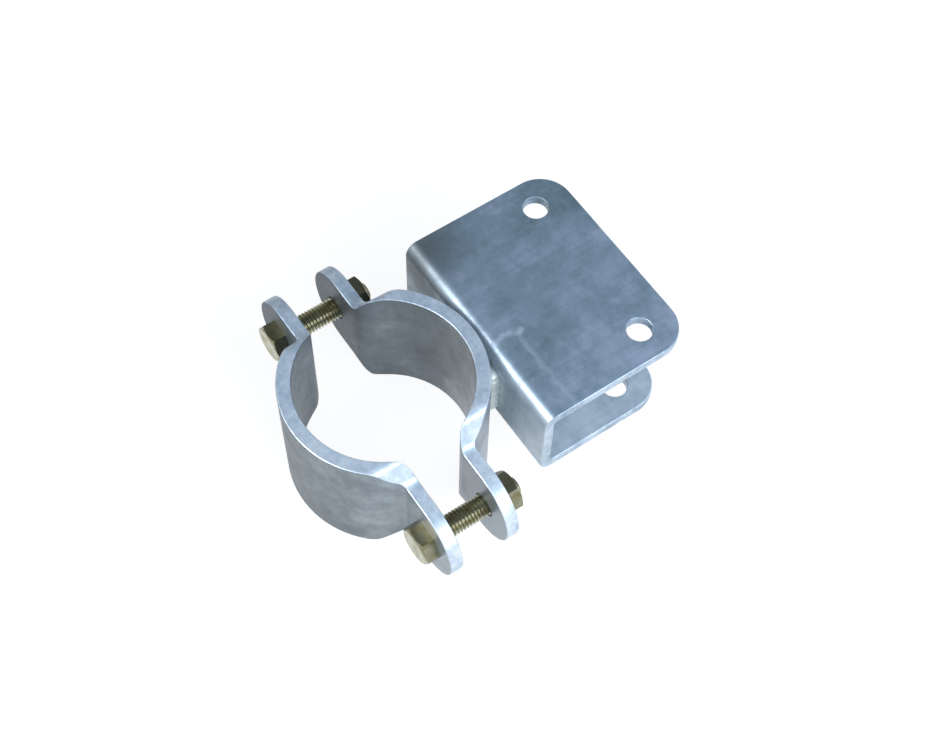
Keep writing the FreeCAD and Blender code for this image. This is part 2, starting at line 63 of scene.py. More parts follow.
MIDDLE_TONE = 0.5  # tone of the zinc between its dark and its light spots
UPRIGHT_LINES = (2.2, 2.2, 30.0)  # millimetres along X, Y and Z of a drain line down the bar
SLANTED_LINES = (26.0, 1.8, 26.0)  # and of one along the plate
EDGE_PATCH_MM = 8.0
EDGE_MOTTLE_MM = 2.2
COLOUR_DETAIL = 3.0  # finer layers in a noise that colours
GRAIN_DETAIL = 2.0  # finer layers in a noise that roughens or bends
EVEN_LAYERS = 0.5  # strength of each finer layer of a noise against the one before
WHITE = "#ffffff"
SRGB_KNEE = 0.04045  # share up to which sRGB is a straight line
SRGB_SLOPE = 12.92
SRGB_OFFSET = 0.055
SRGB_POWER = 2.4

log = logging.getLogger("post_mount_bracket")


class Surface(Enum):
    """Material slots of a piece of bar or plate."""

    FACE = 0
    EDGE = 1


class Side(Enum):
    """The two ends of the clamp, as the nodes' names call them."""

    NEAR = "near"
    FAR = "far"


def linear(code: str) -> tuple[float, float, float, float]:
    """Turn an sRGB hex colour into a linear one.

    Args:
        code: Six hex digits after a hash sign.

    Returns:
        Red, green, blue and an alpha of one.
    """
    shares = [int(code[place : place + 2], 16) / 255 for place in (1, 3, 5)]
    red, green, blue = (
        share / SRGB_SLOPE
        if share <= SRGB_KNEE
        else ((share + SRGB_OFFSET) / (1 + SRGB_OFFSET)) ** SRGB_POWER
        for share in shares
    )
    return red, green, blue, 1.0


def per_metre(size_mm: float) -> float:
    """Texture scale whose features are about this many millimetres across."""
    return 1.0 / (size_mm * MM)


def add_node(
    tree: bpy.types.NodeTree,
    kind: str,
    feeds: Mapping[str | int, Any] | None = None,
    stops: Sequence[tuple[float, str]] = (),
    **settings: Any,
) -> bpy.types.Node:
    """Add one node with its settings, colour stops, values and links.

    Args:
        tree: Node tree that gets the node.
        kind: Type name of the node.
        feeds: Input socket to a value, or to the output socket that feeds it.
        stops: Places and sRGB hex colours of a colour ramp.
        **settings: Properties of the node.

    Returns:
        The node.
    """
    node = tree.nodes.new(kind)
    for name, value in settings.items():
        setattr(node, name, value)
    if stops:
        ramp = node.color_ramp
        while len(ramp.elements) < len(stops):
            ramp.elements.new(stops[-1][0])
        for element, (place, code) in zip(ramp.elements, stops):
            element.position = place
            element.color = linear(code)
    for name, value in (feeds or {}).items():
        if isinstance(value, bpy.types.NodeSocket):
            tree.links.new(value, node.inputs[name])
        else:
            node.inputs[name].default_value = value
    return node


def add_noise(
    tree: bpy.types.NodeTree,
    place: bpy.types.NodeSocket,
    scale: float,
    detail: float,
    layers: float = EVEN_LAYERS,
) -> bpy.types.Node:
    """Add a noise texture.

    Args:
        tree: Node tree of the material.
        place: Coordinates that it reads.
        scale: Features per unit of the coordinates.
        detail: Finer layers on top of the first.
        layers: Strength of each finer layer against the one before.

    Returns:
        The node.
    """
    return add_node(
        tree,
        "ShaderNodeTexNoise",
        {"Vector": place, "Scale": scale, "Detail": detail, "Roughness": layers},
    )


def blend(
    tree: bpy.types.NodeTree,
    share: float,
    first: bpy.types.NodeSocket,
    second: bpy.types.NodeSocket | float,
) -> bpy.types.NodeSocket:
    """Mix two patterns.

    Args:
        tree: Node tree of the material.
        share: Weight of the second pattern.
        first: The pattern that stays.
        second: The pattern or the even tone that is mixed in.

    Returns:
        The mixed pattern.
    """
    return add_node(tree, "ShaderNodeMix", {"Factor": share, "A": first, "B": second}).outputs["Result"]


def tint(
    tree: bpy.types.NodeTree,
    share: bpy.types.NodeSocket,
    under: bpy.types.NodeSocket,
    over: bpy.types.NodeSocket | Sequence[float],
) -> bpy.types.NodeSocket:
    """Lay one colour over another.

    Args:
        tree: Node tree of the material.
        share: How much of the upper colour shows.
        under: The lower colour.
        over: The upper colour.

    Returns:
        The mixed colour.
    """
    return add_node(
        tree, "ShaderNodeMixRGB", {"Fac": share, "Color1": under, "Color2": over}
    ).outputs["Color"]


def fall_off(
    tree: bpy.types.NodeTree, away: bpy.types.NodeSocket, reach: float, share: float
) -> bpy.types.NodeSocket:
    """Share that fades softly with the distance.

    Args:
        tree: Node tree of the material.
        away: The distance in metres.
        reach: Distance from which nothing is left.
        share: Share where the distance is zero.

    Returns:
        The share's socket.
    """
    return add_node(
        tree,
        "ShaderNodeMapRange",
        {"Value": away, "From Max": reach, "To Min": share, "To Max": 0.0},
        interpolation_type="SMOOTHSTEP",
    ).outputs["Result"]


def add_metal(
    tree: bpy.types.NodeTree,
    feeds: Mapping[str, Any],
    height: bpy.types.NodeSocket,
    strength: float,
    depth_mm: float,
) -> None:
    """Add the shader of a metal with fine bumps, and the material's output.

    Args:
        tree: Node tree of the material.
        feeds: Values and sockets of the shader.
        height: Height of the bumps, from zero to one.
        strength: Strength of the bumps.
        depth_mm: Their depth in millimetres.
    """
    bump = add_node(
        tree, "ShaderNodeBump", {"Height": height, "Strength": strength, "Distance": depth_mm * MM}
    ).outputs["Normal"]
    shader = add_node(tree, "ShaderNodeBsdfPrincipled", {**feeds, "Normal": bump}).outputs["BSDF"]
    add_node(tree, "ShaderNodeOutputMaterial", {"Surface": shader})


def blank_material(name: str) -> tuple[bpy.types.Material, bpy.types.NodeTree]:
    """Make an empty node material.

    Args:
        name: Name of the real material.

    Returns:
        The material and its node tree.
    """
    material = bpy.data.materials.new(name)
    material.use_nodes = True
    material.node_tree.nodes.clear()
    return material, material.node_tree


@dataclass(frozen=True)
class ZincTones:
    """Colours of zinc from its darkest to its lightest spots."""

    dark: str
    middle: str
    light: str
    darkest: float = 0.36  # tone up to which the dark colour holds
    lightest: float = 0.64  # tone from which the light colour holds

    def colour(self, tree: bpy.types.NodeTree, tone: bpy.types.NodeSocket) -> bpy.types.NodeSocket:
        """Colour of the zinc by its tone.

        Args:
            tree: Node tree of the material.
            tone: The tone's socket.

        Returns:
            The colour's socket.
        """
        stops = ((self.darkest, self.dark), (MIDDLE_TONE, self.middle), (self.lightest, self.light))
        return add_node(tree, "ShaderNodeValToRGB", {"Fac": tone}, stops).outputs["Color"]


@dataclass(frozen=True)
class ZincRun:
    """Light line of zinc that ran over the plate and set there."""

    start_mm: tuple[float, float, float]
    end_mm: tuple[float, float, float]
    width_mm: float
    share: float
    wave_mm: float = 6.0
    wander_mm: float = 4.5

    def cover(self, tree: bpy.types.NodeTree, place: bpy.types.NodeSocket) -> bpy.types.NodeSocket:
        """Share of the run's colour, which fades with the distance from its wavering line.

        Args:
            tree: Node tree of the material.
            place: Object coordinates.

        Returns:
            The share's socket.
        """
        start = Vector(self.start_mm) * MM
        line = Vector(self.end_mm) * MM - start
        wander = Vector((1.0, 1.0, 1.0)) * self.wander_mm * MM
        waves = add_noise(tree, place, per_metre(self.wave_mm), GRAIN_DETAIL).outputs["Color"]
        swayed = add_node(
            tree, "ShaderNodeVectorMath", {0: waves, 1: wander, 2: place}, operation="MULTIPLY_ADD"
        ).outputs["Vector"]
        offset = add_node(
            tree, "ShaderNodeVectorMath", {0: swayed, 1: start + wander / 2}, operation="SUBTRACT"
        ).outputs["Vector"]
        along = add_node(
            tree, "ShaderNodeVectorMath", {0: offset, 1: line / line.length_squared}, operation="DOT_PRODUCT"
        ).outputs["Value"]
        reached = add_node(tree, "ShaderNodeClamp", {"Value": along}).outputs["Result"]
        nearest = add_node(
            tree, "ShaderNodeVectorMath", {0: line, "Scale": reached}, operation="SCALE"
        ).outputs["Vector"]
        away = add_node(
            tree, "ShaderNodeVectorMath", {0: offset, 1: nearest}, operation="DISTANCE"
        ).outputs["Value"]
        return fall_off(tree, away, self.width_mm * MM, self.share)


@dataclass(frozen=True)
class PaintedFlangeShade:
    """Painted shade on the top flange: the zinc is coloured darker and bluer there, with a darker patch at
    its far back corner and two runs.

    This painted shade gives the flange its slate blue against the lighter web and the lighter inside.
    """

    tones: ZincTones = ZincTones("#60747e", "#7c8f9e", "#a0acbe")
    start_mm: float = 43.5  # height where the painted shade starts
    full_mm: float = 46.2  # height from which it is at its darkest
    dark_patch: str = "#494a4a"
    # A darker patch about a point at the far back corner.
    dark_patch_mm: tuple[float, float, float] = (40.0, 37.0, 43.0)
    dark_patch_radius_mm: float = 22.0
    dark_patch_share: float = 0.7
    run: str = "#b9c6d6"
    runs: tuple[ZincRun, ...] = (
        ZincRun((39.0, -7.5, 46.5), (49.0, -7.5, 46.5), width_mm=1.9, share=0.6),
        ZincRun((47.5, -8.0, 46.5), (47.5, -40.0, 46.5), width_mm=1.7, share=0.28),
    )

    def over(
        self,
        tree: bpy.types.NodeTree,
        place: bpy.types.NodeSocket,
        tone: bpy.types.NodeSocket,
        bright: bpy.types.NodeSocket,
    ) -> bpy.types.NodeSocket:
        """Lay the painted shade, its runs and the darker patch over the bright zinc.

        Args:
            tree: Node tree of the material.
            place: Object coordinates.
            tone: The tone's socket.
            bright: Colour of the bright zinc.

        Returns:
            The colour's socket.
        """
        height = add_node(tree, "ShaderNodeSeparateXYZ", {"Vector": place}).outputs["Z"]
        covered = add_node(
            tree,
            "ShaderNodeMapRange",
            {"Value": height, "From Min": self.start_mm * MM, "From Max": self.full_mm * MM},
        ).outputs["Result"]
        centre = Vector(self.dark_patch_mm) * MM
        away = add_node(
            tree, "ShaderNodeVectorMath", {0: place, 1: centre}, operation="DISTANCE"
        ).outputs["Value"]
        dark_patched = fall_off(tree, away, self.dark_patch_radius_mm * MM, self.dark_patch_share)
        shaded_zinc = self.tones.colour(tree, tone)
        for run in self.runs:
            shaded_zinc = tint(tree, run.cover(tree, place), shaded_zinc, linear(self.run))
        # The painted shade is laid over the flange by height.
        laid = tint(tree, covered, bright, shaded_zinc)
        return tint(tree, dark_patched, laid, linear(self.dark_patch))


@dataclass(frozen=True)
class HotDipZinc:
    """Hot-dip galvanised steel: frosted zinc with soft patches, fine mottle and lines where it ran off.

    The patches give the clouded look of a dipped surface, the mottle its faint crystals, and the
    lines the direction in which the zinc drained.
    """

    name: str
    tones: ZincTones
    line_mm: tuple[float, float, float]  # size of a drain line along the turned X, Y and Z
    line_turn: float = 0.0  # degrees about Z
    line_share: float = 0.16
    contrast: float = 1.0  # spread of the tone about its middle
    # Painted light and shade: the tone drifts with the place, lighter toward the near end and, on the bar,
    # darker toward minus X.
    painted_light_slope: tuple[float, float, float] = (0.0, -1.3, 0.0)  # change of the tone per metre along X, Y and Z
    patch_mm: float = 20.0
    patch_layers: float = 0.55  # strength of each finer layer of the patches
    mottle_mm: float = 6.0
    mottle_layers: float = 0.6  # strength of each finer layer of the mottle and the lines
    mottle_share: float = 0.35
    crystal_mm: float = 1.6
    crystal_share: float = 0.05
    grain_mm: float = 0.7
    grain_depth_mm: float = 0.04
    bump_tone_share: float = 0.5  # share of the tone, against the grain, in the height of the bumps
    bump_strength: float = 0.6
    roughness: tuple[float, float] = (0.5, 0.36)  # of the dark and of the light spots
    rough_tones: tuple[float, float] = (0.38, 0.62)  # tones between which the roughness changes
    metallic: float = 0.45
    # Painted shade on the top flange, darker and bluer than the web and the inside.
    flange_shade: PaintedFlangeShade | None = None

    def pattern(self, tree: bpy.types.NodeTree, place: bpy.types.NodeSocket) -> bpy.types.NodeSocket:
        """Tone of the zinc between zero and one.

        Args:
            tree: Node tree of the material.
            place: Object coordinates.

        Returns:
            The tone's socket.
        """
        patches = add_noise(
            tree, place, per_metre(self.patch_mm), COLOUR_DETAIL, self.patch_layers
        ).outputs["Fac"]
        mottle = add_noise(
            tree, place, per_metre(self.mottle_mm), COLOUR_DETAIL, self.mottle_layers
        ).outputs["Fac"]
        crystals = add_node(
            tree, "ShaderNodeTexVoronoi", {"Vector": place, "Scale": per_metre(self.crystal_mm)}
        ).outputs["Color"]
        crystal_tone = add_node(tree, "ShaderNodeRGBToBW", {"Color": crystals}).outputs["Val"]
        drained = add_node(
            tree,
            "ShaderNodeMapping",
            {
                "Vector": place,
                "Rotation": (0.0, 0.0, math.radians(self.line_turn)),
                "Scale": [per_metre(size) for size in self.line_mm],
            },
        ).outputs["Vector"]
        lines = add_noise(tree, drained, 1.0, COLOUR_DETAIL, self.mottle_layers).outputs["Fac"]
        soft = blend(tree, self.mottle_share, patches, mottle)
        lined = blend(tree, self.line_share, soft, lines)
        mixed = blend(tree, self.crystal_share, lined, crystal_tone)
        calmed = blend(tree, 1.0 - self.contrast, mixed, MIDDLE_TONE)
        # Painted light: the tone is made lighter toward the near lamps and darker far off.
        drift = add_node(
            tree, "ShaderNodeVectorMath", {0: place, 1: self.painted_light_slope}, operation="DOT_PRODUCT"
        ).outputs["Value"]
        return add_node(tree, "ShaderNodeMath", {0: calmed, 1: drift}, operation="ADD").outputs["Value"]

    def material(self) -> bpy.types.Material:
        """Build the node material.

        Returns:
            The material.
        """
        material, tree = blank_material(self.name)
        place = add_node(tree, "ShaderNodeTexCoord").outputs["Object"]
        tone = self.pattern(tree, place)
        colour = self.tones.colour(tree, tone)
        if self.flange_shade:
            colour = self.flange_shade.over(tree, place, tone, colour)
        gloss = add_node(
            tree,
            "ShaderNodeMapRange",
            {
                "Value": tone,
                "From Min": self.rough_tones[0],
                "From Max": self.rough_tones[1],
                "To Min": self.roughness[0],
                "To Max": self.roughness[1],
            },
        ).outputs["Result"]
        grain = add_noise(tree, place, per_metre(self.grain_mm), GRAIN_DETAIL).outputs["Fac"]
        add_metal(
            tree,
            {"Base Color": colour, "Roughness": gloss, "Metallic": self.metallic},
            blend(tree, self.bump_tone_share, grain, tone),
            self.bump_strength,
            self.grain_depth_mm,
        )
        return material


@dataclass(frozen=True)
class YellowZinc:
    """Yellow passivated zinc plate: thin olive gold film over bright zinc, drifting to green and copper.

    Faces that look up are coloured dark olive as painted shade, which leaves the lower flats pale.
    """

    name: str
    film: tuple[tuple[float, str], ...] = (
        (0.3, "#918a68"),
        (0.45, "#a5a48a"),
        (0.57, "#b9bfab"),
        (0.7, "#a89468"),
    )
    cloud_mm: float = 4.0
    painted_top_shade: str = "#5f573e"
    painted_top_shade_share: float = 0.85
    painted_top_shade_looks: tuple[float, float] = (0.1, 0.7)  # how far up a face looks where the painted shade starts and is full
    grain_mm: float = 0.5
    grain_depth_mm: float = 0.02
    bump_strength: float = 0.5
    roughness: float = 0.3
    metallic: float = 1.0

    def material(self) -> bpy.types.Material:
        """Build the node material.

        Returns:
            The material.
        """
        material, tree = blank_material(self.name)
        place = add_node(tree, "ShaderNodeTexCoord").outputs["Object"]
        clouds = add_noise(tree, place, per_metre(self.cloud_mm), COLOUR_DETAIL).outputs["Fac"]
        colour = add_node(tree, "ShaderNodeValToRGB", {"Fac": clouds}, self.film).outputs["Color"]
        upward = add_node(tree, "ShaderNodeAttribute", attribute_name=UPWARD).outputs["Fac"]
        # Painted shade: the more a face looks up, the more dark olive is laid over the film.
        painted_top_shade_cover = add_node(
            tree,
            "ShaderNodeMapRange",
            {
                "Value": upward,
                "From Min": self.painted_top_shade_looks[0],
                "From Max": self.painted_top_shade_looks[1],
                "To Max": self.painted_top_shade_share,
            },
        ).outputs["Result"]
        grain = add_noise(tree, place, per_metre(self.grain_mm), GRAIN_DETAIL).outputs["Fac"]
        add_metal(
            tree,
            {
                "Base Color": tint(tree, painted_top_shade_cover, colour, linear(self.painted_top_shade)),
                "Roughness": self.roughness,
                "Metallic": self.metallic,
            },
            grain,
            self.bump_strength,
            self.grain_depth_mm,
        )
        return material


def merged_copy(node: str) -> bmesh.types.BMesh:
    """Copy a CAD node's loose triangles into one closed mesh with whole flat faces.

    Args:
        node: Name of the CAD node.

    Returns:
        The mesh, which the caller frees.
    """
    mesh = bmesh.new()
    mesh.from_mesh(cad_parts[node].data)
    bmesh.ops.remove_doubles(mesh, verts=mesh.verts[:], dist=WELD_GAP)
    bmesh.ops.dissolve_limit(mesh, angle_limit=FLAT_TURN, verts=mesh.verts[:], edges=mesh.edges[:])
    return mesh


def sharp_edges(mesh: bmesh.types.BMesh) -> list[bmesh.types.BMEdge]:
    """Edges of the steel: those between two faces that meet at a clear angle."""
    return [e for e in mesh.edges if len(e.link_faces) == 2 and e.calc_face_angle() > SHARP_TURN]


def round_off(
    mesh: bmesh.types.BMesh, edges: Iterable[bmesh.types.BMEdge], radius: float, steps: int
) -> None:
    """Round edges off.

    Args:
        mesh: Mesh that holds the edges.
        edges: The edges to round.
        radius: Width of the rounding on each face, in metres.
        steps: Facets across the rounding.
    """
    bmesh.ops.bevel(
        mesh,
        geom=list(edges),
        offset=radius,
        offset_type="OFFSET",
        affect="EDGES",
        segments=steps,
        profile=HALF_ROUND,
        clamp_overlap=True,
        material=-1,
    )


def cut(
    mesh: bmesh.types.BMesh, place: Sequence[float], way: Sequence[float], clear: bool = False
) -> None:
    """Cut a mesh along a plane.

    Args:
        mesh: Mesh to cut.
        place: A point of the plane.
        way: The plane's normal.
        clear: Whether what lies beyond the plane, the way its normal points, is removed.
    """
    bmesh.ops.bisect_plane(
        mesh,
        geom=mesh.verts[:] + mesh.edges[:] + mesh.faces[:],
        plane_co=place,
        plane_no=way,
        clear_outer=clear,
    )


def close_holes(mesh: bmesh.types.BMesh) -> None:
    """Fill the open rims of a mesh."""
    bmesh.ops.holes_fill(mesh, edges=[edge for edge in mesh.edges if edge.is_boundary])


def mark_upward(mesh: bmesh.types.BMesh) -> None:
    """Store on each face how far it looks up.

    Args:
        mesh: Mesh that gets the attribute.
    """
    mesh.normal_update()
    layer = mesh.faces.layers.float.new(UPWARD)
    for face in mesh.faces:
        face[layer] = face.normal.z


def add_piece(
    name: str,
    mesh: bmesh.types.BMesh,
    materials: Sequence[bpy.types.Material],
    nodes: Sequence[str],
) -> bpy.types.Object:
    """Turn a mesh into a finished piece that rides on the frame.

    Args:
        name: Name of the piece.
        mesh: Its mesh, which is freed.
        materials: Its materials, by slot.
        nodes: CAD nodes that the piece stands for.

    Returns:
        The piece's object.
    """
    data = bpy.data.meshes.new(name)
    mesh.to_mesh(data)
    mesh.free()
    for material in materials:
        data.materials.append(material)
    data.shade_smooth()
    data.set_sharp_from_angle(angle=SHARP_TURN)
    piece = bpy.data.objects.new(name, data)
    bpy.context.scene.collection.objects.link(piece)
    normals = piece.modifiers.new("face_weighted_normals", "WEIGHTED_NORMAL")
    normals.keep_sharp = True
    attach(piece, BODY)
    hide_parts(*nodes)
    return piece


@dataclass
class ClampHalf:
    """One half of the clamp: a saddle of bent flat bar with two necked ears."""

    node: str
    face_finish: bpy.types.Material
    edge_finish: bpy.types.Material
    edge_radius: float = 1.2 * MM
    edge_steps: int = 5
    hole_rounding: float = 0.3 * MM
    hole_steps: int = 2
    hole_reach: float = 5.2 * MM
    bolt_offset: float = 46.0 * MM
    bolt_height: float = 25.0 * MM
    edge_normal: float = 0.3  # faces that look along X by less than this are cut edges

    def at_hole(self, edge: bmesh.types.BMEdge) -> bool:
        """Tell whether an edge belongs to the rim of a bolt hole.

        Args:
            edge: An edge of the bar.

        Returns:
            Whether both its ends lie within reach of a bolt's axis.
        """
        return all(
            math.hypot(abs(v.co.y) - self.bolt_offset, v.co.z - self.bolt_height) < self.hole_reach
            for v in edge.verts
        )

    def dress(self, mesh: bmesh.types.BMesh) -> None:
        """Give the faces and the cut edges of the bar their finishes.

        Args:
            mesh: Mesh of the bar, still with sharp edges.
        """
        for face in mesh.faces:
            is_edge = abs(face.normal.x) < self.edge_normal
            face.material_index = (Surface.EDGE if is_edge else Surface.FACE).value

    def build(self) -> bpy.types.Object:
        """Dress the bar and round its edges.

        Returns:
            The piece's object.
        """
        mesh = merged_copy(self.node)
        self.dress(mesh)
        outer = [edge for edge in sharp_edges(mesh) if not self.at_hole(edge)]
        round_off(mesh, outer, self.edge_radius, self.edge_steps)
        rims = [edge for edge in sharp_edges(mesh) if self.at_hole(edge)]
        round_off(mesh, rims, self.hole_rounding, self.hole_steps)
        return add_piece(
            f"{self.node}_bar", mesh, (self.face_finish, self.edge_finish), [self.node]
        )


@dataclass
class ChannelBracket:
    """Channel folded from one plate and welded to the rear half."""

    node: str
    face_finish: bpy.types.Material
    edge_finish: bpy.types.Material
    edge_radius: float = 0.5 * MM
    edge_steps: int = 3
    free_edge_reach: float = 14.0 * MM  # the mouth's cut edges lie within this of its outermost point
    upright_normal: float = 0.3  # faces that look up or down by less than this are upright
    end_normal: float = 0.5  # upright faces that look along Y by more than this are the plate's ends

    def is_edge_face(self, face: bmesh.types.BMFace, mouth: float) -> bool:
        """Tell whether a face is a cut edge of the plate.

        Args:
            face: A face of the channel.
            mouth: Place of the channel's mouth along X.

        Returns:
            Whether it is upright and at an end of the plate or at the mouth.
        """
        upright = abs(face.normal.z) < self.upright_normal
        at_mouth = face.calc_center_median().x > mouth - self.free_edge_reach
        return upright and (abs(face.normal.y) > self.end_normal or at_mouth)

    def dress(self, mesh: bmesh.types.BMesh) -> None:
        """Give the faces and the cut edges of the plate their finishes.

        Args:
            mesh: Mesh of the channel, still with sharp edges.
        """
        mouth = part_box(self.node)[1].x
        for face in mesh.faces:
            is_edge = self.is_edge_face(face, mouth)
            face.material_index = (Surface.EDGE if is_edge else Surface.FACE).value

    def build(self) -> bpy.types.Object:
        """Dress the plate and round its edges.

        Returns:
            The piece's object.
        """
        mesh = merged_copy(self.node)
        self.dress(mesh)
        round_off(mesh, sharp_edges(mesh), self.edge_radius, self.edge_steps)
        return add_piece(
            "channel_plate", mesh, (self.face_finish, self.edge_finish), [self.node]
        )


@dataclass
class WeldBead:
    """Flare weld along the rear saddle, with the ripples of a hand-run bead under the zinc."""

    side: Side
    finish: bpy.types.Material
    ripple_pitch: float = 2.4 * MM
    ripple_depth: float = 0.35 * MM
    slice_height: float = 0.3 * MM

    def build(self) -> bpy.types.Object:
        """Slice the bead along its run and press ripples into it.

        Returns:
            The piece's object.
        """
        node = f"{self.side.value}_weld_bead"
        mesh = merged_copy(node)
        low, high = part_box(node)
        height = low.z + self.slice_height
        while height < high.z:
            cut(mesh, (0.0, 0.0, height), (0.0, 0.0, 1.0))
            height += self.slice_height
        middle = (low + high) / 2
        half_width = (high.y - low.y) / 2
        for vert in mesh.verts:
            phase = (vert.co.z - low.z) / self.ripple_pitch
            depth = self.ripple_depth * (1 + math.cos(math.tau * phase)) / 2
            out = Vector((vert.co.x - middle.x, vert.co.y - middle.y, 0.0))
            vert.co -= out.normalized() * depth * min(1.0, out.length / half_width)
        return add_piece(f"{node}_ripples", mesh, (self.finish,), [node])


@dataclass
class HexBolt:
    """Fully threaded hexagon bolt: the head of the solid on a real helical thread."""

    side: Side
    finish: bpy.types.Material
    thread_diameter: float = 8.0 * MM
    thread_pitch: float = 1.25 * MM
    thread_depth: float = 0.7 * MM
    crest_share: float = 0.2  # share of the pitch that is flat at the crest, and again at the root
    end_chamfer: float = 1.0 * MM
    turn_gap: float = 0.02 * MM  # corners of neighbouring turns closer than this are one corner
    steps_per_turn: int = 28
    head_height: float = 5.3 * MM
    seat_margin: float = 0.01 * MM  # keeps the cut below the head clear of its seat
    edge_radius: float = 0.22 * MM
    edge_steps: int = 2

    def thread(self, start: float, end: float, y: float, z: float) -> bmesh.types.BMesh:
        """Make the threaded shank by turning one pitch of its profile along a helix.

        Args:
            start: Place of the head's seat along X.
            end: Place of the bolt's end along X.
            y: Place of the bolt's axis along Y.
            z: Height of the bolt's axis.

        Returns:
            The shank's mesh, which the caller frees.
        """
        mesh = bmesh.new()
        crest = self.thread_diameter / 2
        root = crest - self.thread_depth
        flat = self.crest_share * self.thread_pitch
        flank = self.thread_pitch / 2 - flat
        profile = [
            (0.0, root),
            (flat, root),
            (flat + flank, crest),
            (2 * flat + flank, crest),
            (self.thread_pitch, root),
        ]
        first = start - self.thread_pitch
        verts = [mesh.verts.new((first + along, y, z + radius)) for along, radius in profile]
        edges = [mesh.edges.new(pair) for pair in zip(verts, verts[1:])]
        turns = math.ceil((end - first) / self.thread_pitch) + 1
        bmesh.ops.spin(
            mesh,
            geom=verts + edges,
            cent=(0.0, y, z),
            axis=(1.0, 0.0, 0.0),
            dvec=(self.thread_pitch / self.steps_per_turn, 0.0, 0.0),
            angle=math.tau * turns,
            steps=self.steps_per_turn * turns,
            use_merge=False,
            use_duplicate=False,
        )
        bmesh.ops.remove_doubles(mesh, verts=mesh.verts[:], dist=self.turn_gap)
        cut(mesh, (start, 0.0, 0.0), (-1.0, 0.0, 0.0), clear=True)
        cut(mesh, (end, 0.0, 0.0), (1.0, 0.0, 0.0), clear=True)
        for vert in mesh.verts:
            out = Vector((0.0, vert.co.y - y, vert.co.z - z))
            allowed = crest - max(0.0, self.end_chamfer - (end - vert.co.x))
            if out.length > allowed:
                vert.co -= out * (1 - allowed / out.length)
        close_holes(mesh)
        bmesh.ops.recalc_face_normals(mesh, faces=mesh.faces[:])
        return mesh

    def build(self) -> bpy.types.Object:
        """Join the rounded head to the threaded shank.

        Returns:
            The piece's object.
        """
        node = f"{self.side.value}_bolt"
        low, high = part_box(node)
        seat = low.x + self.head_height
        mesh = merged_copy(node)
        cut(mesh, (seat + self.seat_margin, 0.0, 0.0), (1.0, 0.0, 0.0), clear=True)
        close_holes(mesh)
        round_off(mesh, sharp_edges(mesh), self.edge_radius, self.edge_steps)
        shank = self.thread(seat, high.x, (low.y + high.y) / 2, (low.z + high.z) / 2)
        data = bpy.data.meshes.new(f"{node}_shank")
        shank.to_mesh(data)
        shank.free()
        mesh.from_mesh(data)
        bpy.data.meshes.remove(data)
        mark_upward(mesh)
        return add_piece(f"{node}_threaded", mesh, (self.finish,), [node])


@dataclass
class HexNut:
    """Hexagon nut with its corners turned off."""

    side: Side
    finish: bpy.types.Material
    edge_radius: float = 0.2 * MM
    edge_steps: int = 2

    def build(self) -> bpy.types.Object:
        """Round the nut's edges.

        Returns:
            The piece's object.
        """
        node = f"{self.side.value}_nut"
        mesh = merged_copy(node)
        round_off(mesh, sharp_edges(mesh), self.edge_radius, self.edge_steps)
        mark_upward(mesh)
        return add_piece(f"{node}_hexagon", mesh, (self.finish,), [node])


def shown_rays(tree: bpy.types.NodeTree) -> bpy.types.NodeSocket:
    """Socket that is one for the rays that show the white studio, seen, mirrored or through glass.

    Args:
        tree: Node tree that gets the nodes.

    Returns:
        The socket.
    """
    rays = add_node(tree, "ShaderNodeLightPath").outputs
    shown = rays["Is Camera Ray"]
    for kind in ("Is Glossy Ray", "Is Transmission Ray"):
        shown = add_node(
            tree, "ShaderNodeMath", {0: shown, 1: rays[kind]}, operation="ADD", use_clamp=True
        ).outputs["Value"]
    return shown


@dataclass(frozen=True)
class Lamp:
    """Soft square lamp that points at the object."""

    name: str
    place: tuple[float, float, float]
    size: float
    power: float  # watts
    colour: str = WHITE
    mirrored_only: bool = False  # whether it shows only as a highlight in the metal

    def build(self, target: Vector) -> None:
        """Hang the lamp.

        Args:
            target: The point that it faces.
        """
        data = bpy.data.lights.new(self.name, "AREA")
        data.shape = "SQUARE"
        data.size = self.size
        data.energy = self.power
        data.color = linear(self.colour)[:3]
        lamp = bpy.data.objects.new(self.name, data)
        lamp.location = self.place
        lamp.rotation_euler = (Vector(self.place) - target).to_track_quat("Z", "Y").to_euler()
        lamp.visible_diffuse = not self.mirrored_only
        bpy.context.scene.collection.objects.link(lamp)


